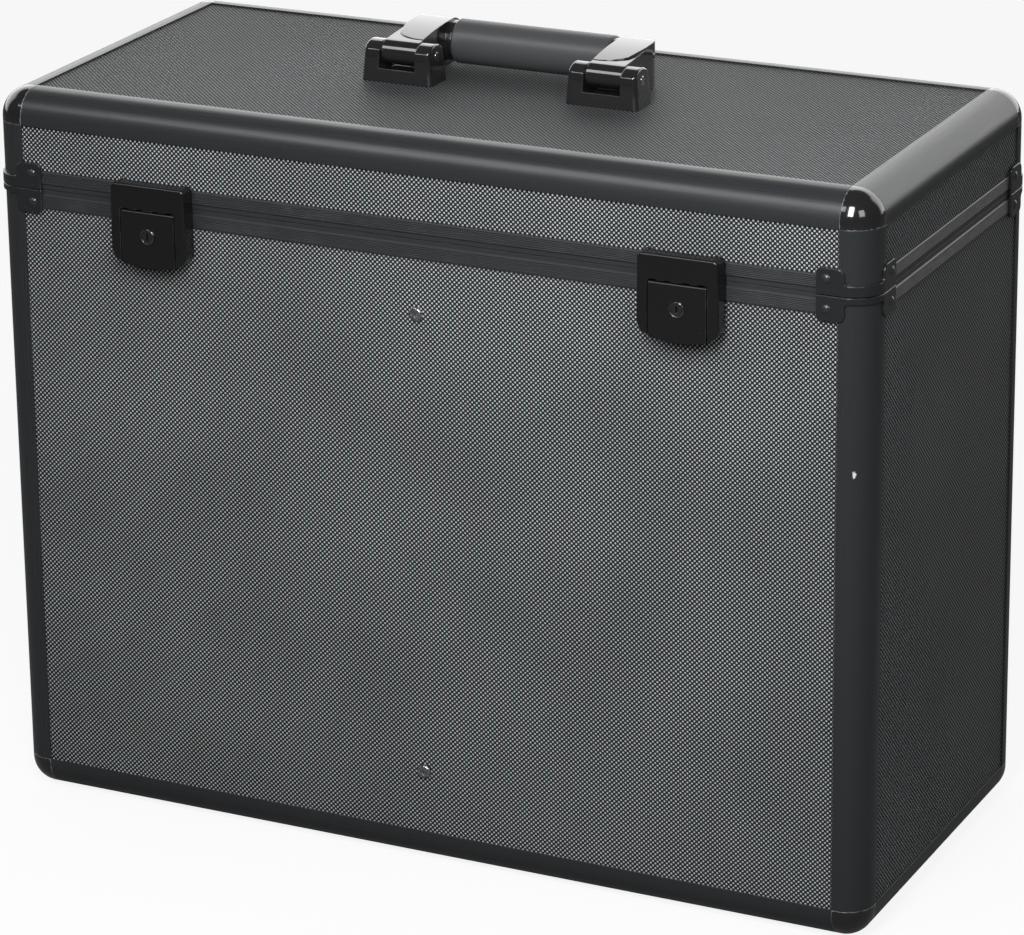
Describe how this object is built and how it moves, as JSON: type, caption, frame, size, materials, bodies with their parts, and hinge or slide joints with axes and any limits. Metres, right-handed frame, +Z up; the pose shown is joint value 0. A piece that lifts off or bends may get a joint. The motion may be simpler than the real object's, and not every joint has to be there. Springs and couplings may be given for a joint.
{
  "type": "moving head flight case",
  "caption": "Black board flight case in aluminium edge extrusions with ball corners, hinged lid, key latches, folding handle and two foam-lined bays.",
  "frame": {"origin": "on the ground, under the middle of the whole outline with its latches and hinges", "axes": "+X along the case's width, to the right of someone who looks at the latches; -Y is the front with the latches; +Z up"},
  "size_m": [0.6058, 0.2908, 0.5091],
  "materials": {
    "dimpled_board": "dimpled laminate",
    "divider_board": "black laminated plywood",
    "foam": "open-cell foam",
    "edge_extrusion": "black satin anodised",
    "rim_extrusion": "black satin anodised, ribbed",
    "ball_corner": "gloss",
    "rivet_steel": "satin",
    "screw_steel": "dark zinc",
    "lock_metal": "satin",
    "latch_black": "satin",
    "black_steel": "satin",
    "handle_gloss": "gloss",
    "grip_rubber": "satin",
    "core_steel": "zinc plated"
  },
  "bodies": {
    "case_body": {"body_front_panel": "dimpled_board", "body_back_panel": "dimpled_board", "body_left_panel": "dimpled_board", "body_right_panel": "dimpled_board", "body_bottom_panel": "dimpled_board", "body_corner_posts": "edge_extrusion", "body_edges_long": "edge_extrusion", "body_edges_short": "edge_extrusion", "body_ball_corners": "ball_corner", "body_rims_long": "rim_extrusion", "body_rims_short": "rim_extrusion", "body_brackets": "black_steel", "body_bracket_rivets": "rivet_steel", "latch_base_rivets": "rivet_steel", "latch_base_left": "black_steel", "latch_base_right": "black_steel", "latch_lever_pins": "rivet_steel", "hinge_body_leaves": "black_steel", "hinge_pins": "rivet_steel", "hinge_body_rivets": "rivet_steel", "divider_board": "divider_board", "divider_screws": "screw_steel", "divider_pads": "foam", "floor_pads": "foam", "front_wall_pads": "foam", "back_wall_pads": "foam", "end_wall_pads": "foam"},
    "lid": {"lid_top_panel": "dimpled_board", "lid_strips_long": "dimpled_board", "lid_strips_short": "dimpled_board", "lid_corner_posts": "edge_extrusion", "lid_edges_long": "edge_extrusion", "lid_edges_short": "edge_extrusion", "lid_ball_corners": "ball_corner", "lid_rims_long": "rim_extrusion", "lid_rims_short": "rim_extrusion", "lid_brackets": "black_steel", "lid_bracket_rivets": "rivet_steel", "lid_catches": "black_steel", "lid_catch_rivets": "rivet_steel", "hinge_lid_leaves": "black_steel", "hinge_lid_rivets": "rivet_steel", "lid_foam_pad": "foam", "handle_mounts": "handle_gloss", "handle_mount_screws": "screw_steel", "handle_pins": "rivet_steel"},
    "handle": {"handle_arm_left": "handle_gloss", "handle_arm_right": "handle_gloss", "handle_grip": "grip_rubber", "handle_core": "core_steel"},
    "latch_lever_left": {"latch_lever_left": "latch_black", "latch_claw_pins_left": "rivet_steel", "lock_housing_left": "lock_metal"},
    "latch_claw_left": {"latch_claw_left": "latch_black"},
    "key_left": {"key_plug_left": "lock_metal"},
    "latch_lever_right": {"latch_lever_right": "latch_black", "latch_claw_pins_right": "rivet_steel", "lock_housing_right": "lock_metal"},
    "latch_claw_right": {"latch_claw_right": "latch_black"},
    "key_right": {"key_plug_right": "lock_metal"}
  },
  "joints": [
    {"name": "lid_hinge", "type": "hinge", "parent": "case_body", "child": "lid", "pos_m": [0, 0.142, 0.418], "axis": [-1, 0, 0], "range_deg": [0, 100]},
    {"name": "handle_fold", "type": "hinge", "parent": "lid", "child": "handle", "pos_m": [0, -0.0014, 0.4965], "axis": [1, 0, 0], "range_deg": [0, 90]},
    {"name": "latch_lever_left_swing", "type": "hinge", "parent": "case_body", "child": "latch_lever_left", "pos_m": [-0.181, -0.1389, 0.4115], "axis": [-1, 0, 0], "range_deg": [-3, 110]},
    {"name": "latch_claw_left_swing", "type": "hinge", "parent": "latch_lever_left", "child": "latch_claw_left", "pos_m": [-0.181, -0.1379, 0.3915], "axis": [-1, 0, 0], "range_deg": [-110, 3]},
    {"name": "key_left_turn", "type": "hinge", "parent": "latch_lever_left", "child": "key_left", "pos_m": [-0.181, -0.1414, 0.4005], "axis": [0, 1, 0], "range_deg": [-90, 0]},
    {"name": "latch_lever_right_swing", "type": "hinge", "parent": "case_body", "child": "latch_lever_right", "pos_m": [0.181, -0.1389, 0.4115], "axis": [-1, 0, 0], "range_deg": [-3, 110]},
    {"name": "latch_claw_right_swing", "type": "hinge", "parent": "latch_lever_right", "child": "latch_claw_right", "pos_m": [0.181, -0.1379, 0.3915], "axis": [-1, 0, 0], "range_deg": [-110, 3]},
    {"name": "key_right_turn", "type": "hinge", "parent": "latch_lever_right", "child": "key_right", "pos_m": [0.181, -0.1414, 0.4005], "axis": [0, 1, 0], "range_deg": [-90, 0]}
  ],
  "couplings": [
    {"joint": "latch_claw_left_swing", "follows": "latch_lever_left_swing", "ratio": -1},
    {"joint": "latch_claw_right_swing", "follows": "latch_lever_right_swing", "ratio": -1}
  ]
}
